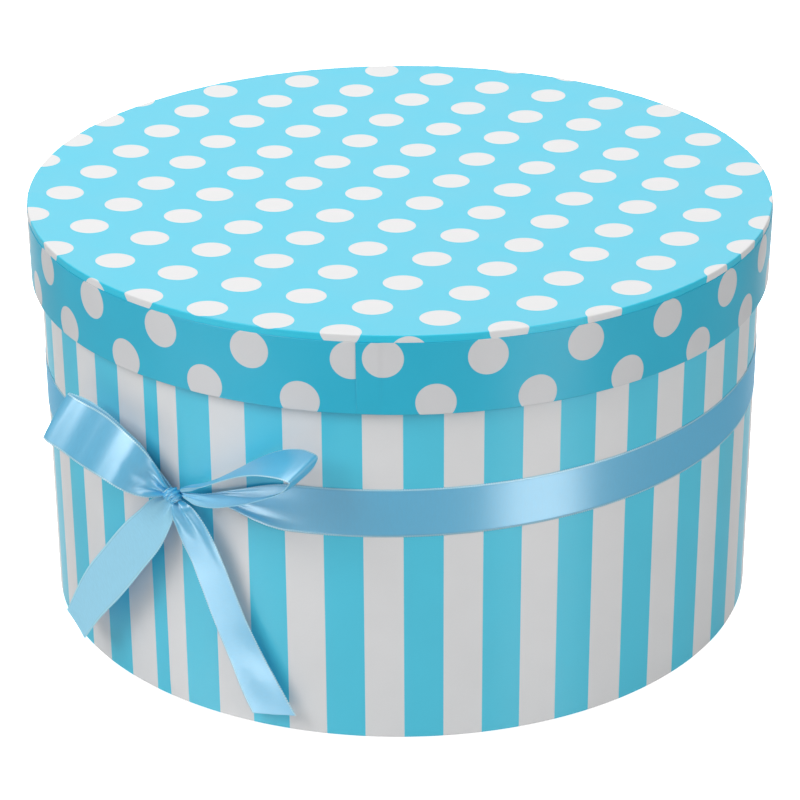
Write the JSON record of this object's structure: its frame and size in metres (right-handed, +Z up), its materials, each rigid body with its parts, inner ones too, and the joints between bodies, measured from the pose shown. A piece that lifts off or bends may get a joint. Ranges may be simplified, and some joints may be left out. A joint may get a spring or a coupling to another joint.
{
  "type": "hat box",
  "caption": "Round paper-board hat box with a lift-off lid, covered in dotted and striped paper and tied with a satin ribbon bow.",
  "frame": {"origin": "centre of the underside, on the surface that the box stands on", "axes": "+Z up; the bow faces -Y and +X is to its right, seen from the front"},
  "size_m": [0.38, 0.4021, 0.2159],
  "materials": {
    "greyboard": "matte",
    "kraft_tape": "matte",
    "striped_paper": "satin",
    "dotted_paper": "satin",
    "plain_paper": "matte",
    "satin_ribbon": "satin"
  },
  "bodies": {
    "box": {"base_board": "greyboard", "wall_board": "greyboard", "wall_joint_tape": "kraft_tape", "wall_wrap_paper": "striped_paper", "base_cover_paper": "plain_paper", "wall_lining_paper": "plain_paper", "base_lining_paper": "plain_paper", "ribbon_band": "satin_ribbon", "bow_knot": "satin_ribbon", "bow_loop_left": "satin_ribbon", "bow_loop_right": "satin_ribbon", "bow_tail_left": "satin_ribbon", "bow_tail_right": "satin_ribbon"},
    "lid": {"lid_board": "greyboard", "rim_board": "greyboard", "rim_joint_tape": "kraft_tape", "lid_top_paper": "dotted_paper", "rim_wrap_paper": "dotted_paper", "lid_lining_paper": "plain_paper", "rim_lining_paper": "plain_paper"}
  },
  "joints": [
    {"name": "lid_lift", "type": "slide", "parent": "box", "child": "lid", "axis": [0, 0, 1], "range_m": [0, 0.25]}
  ]
}
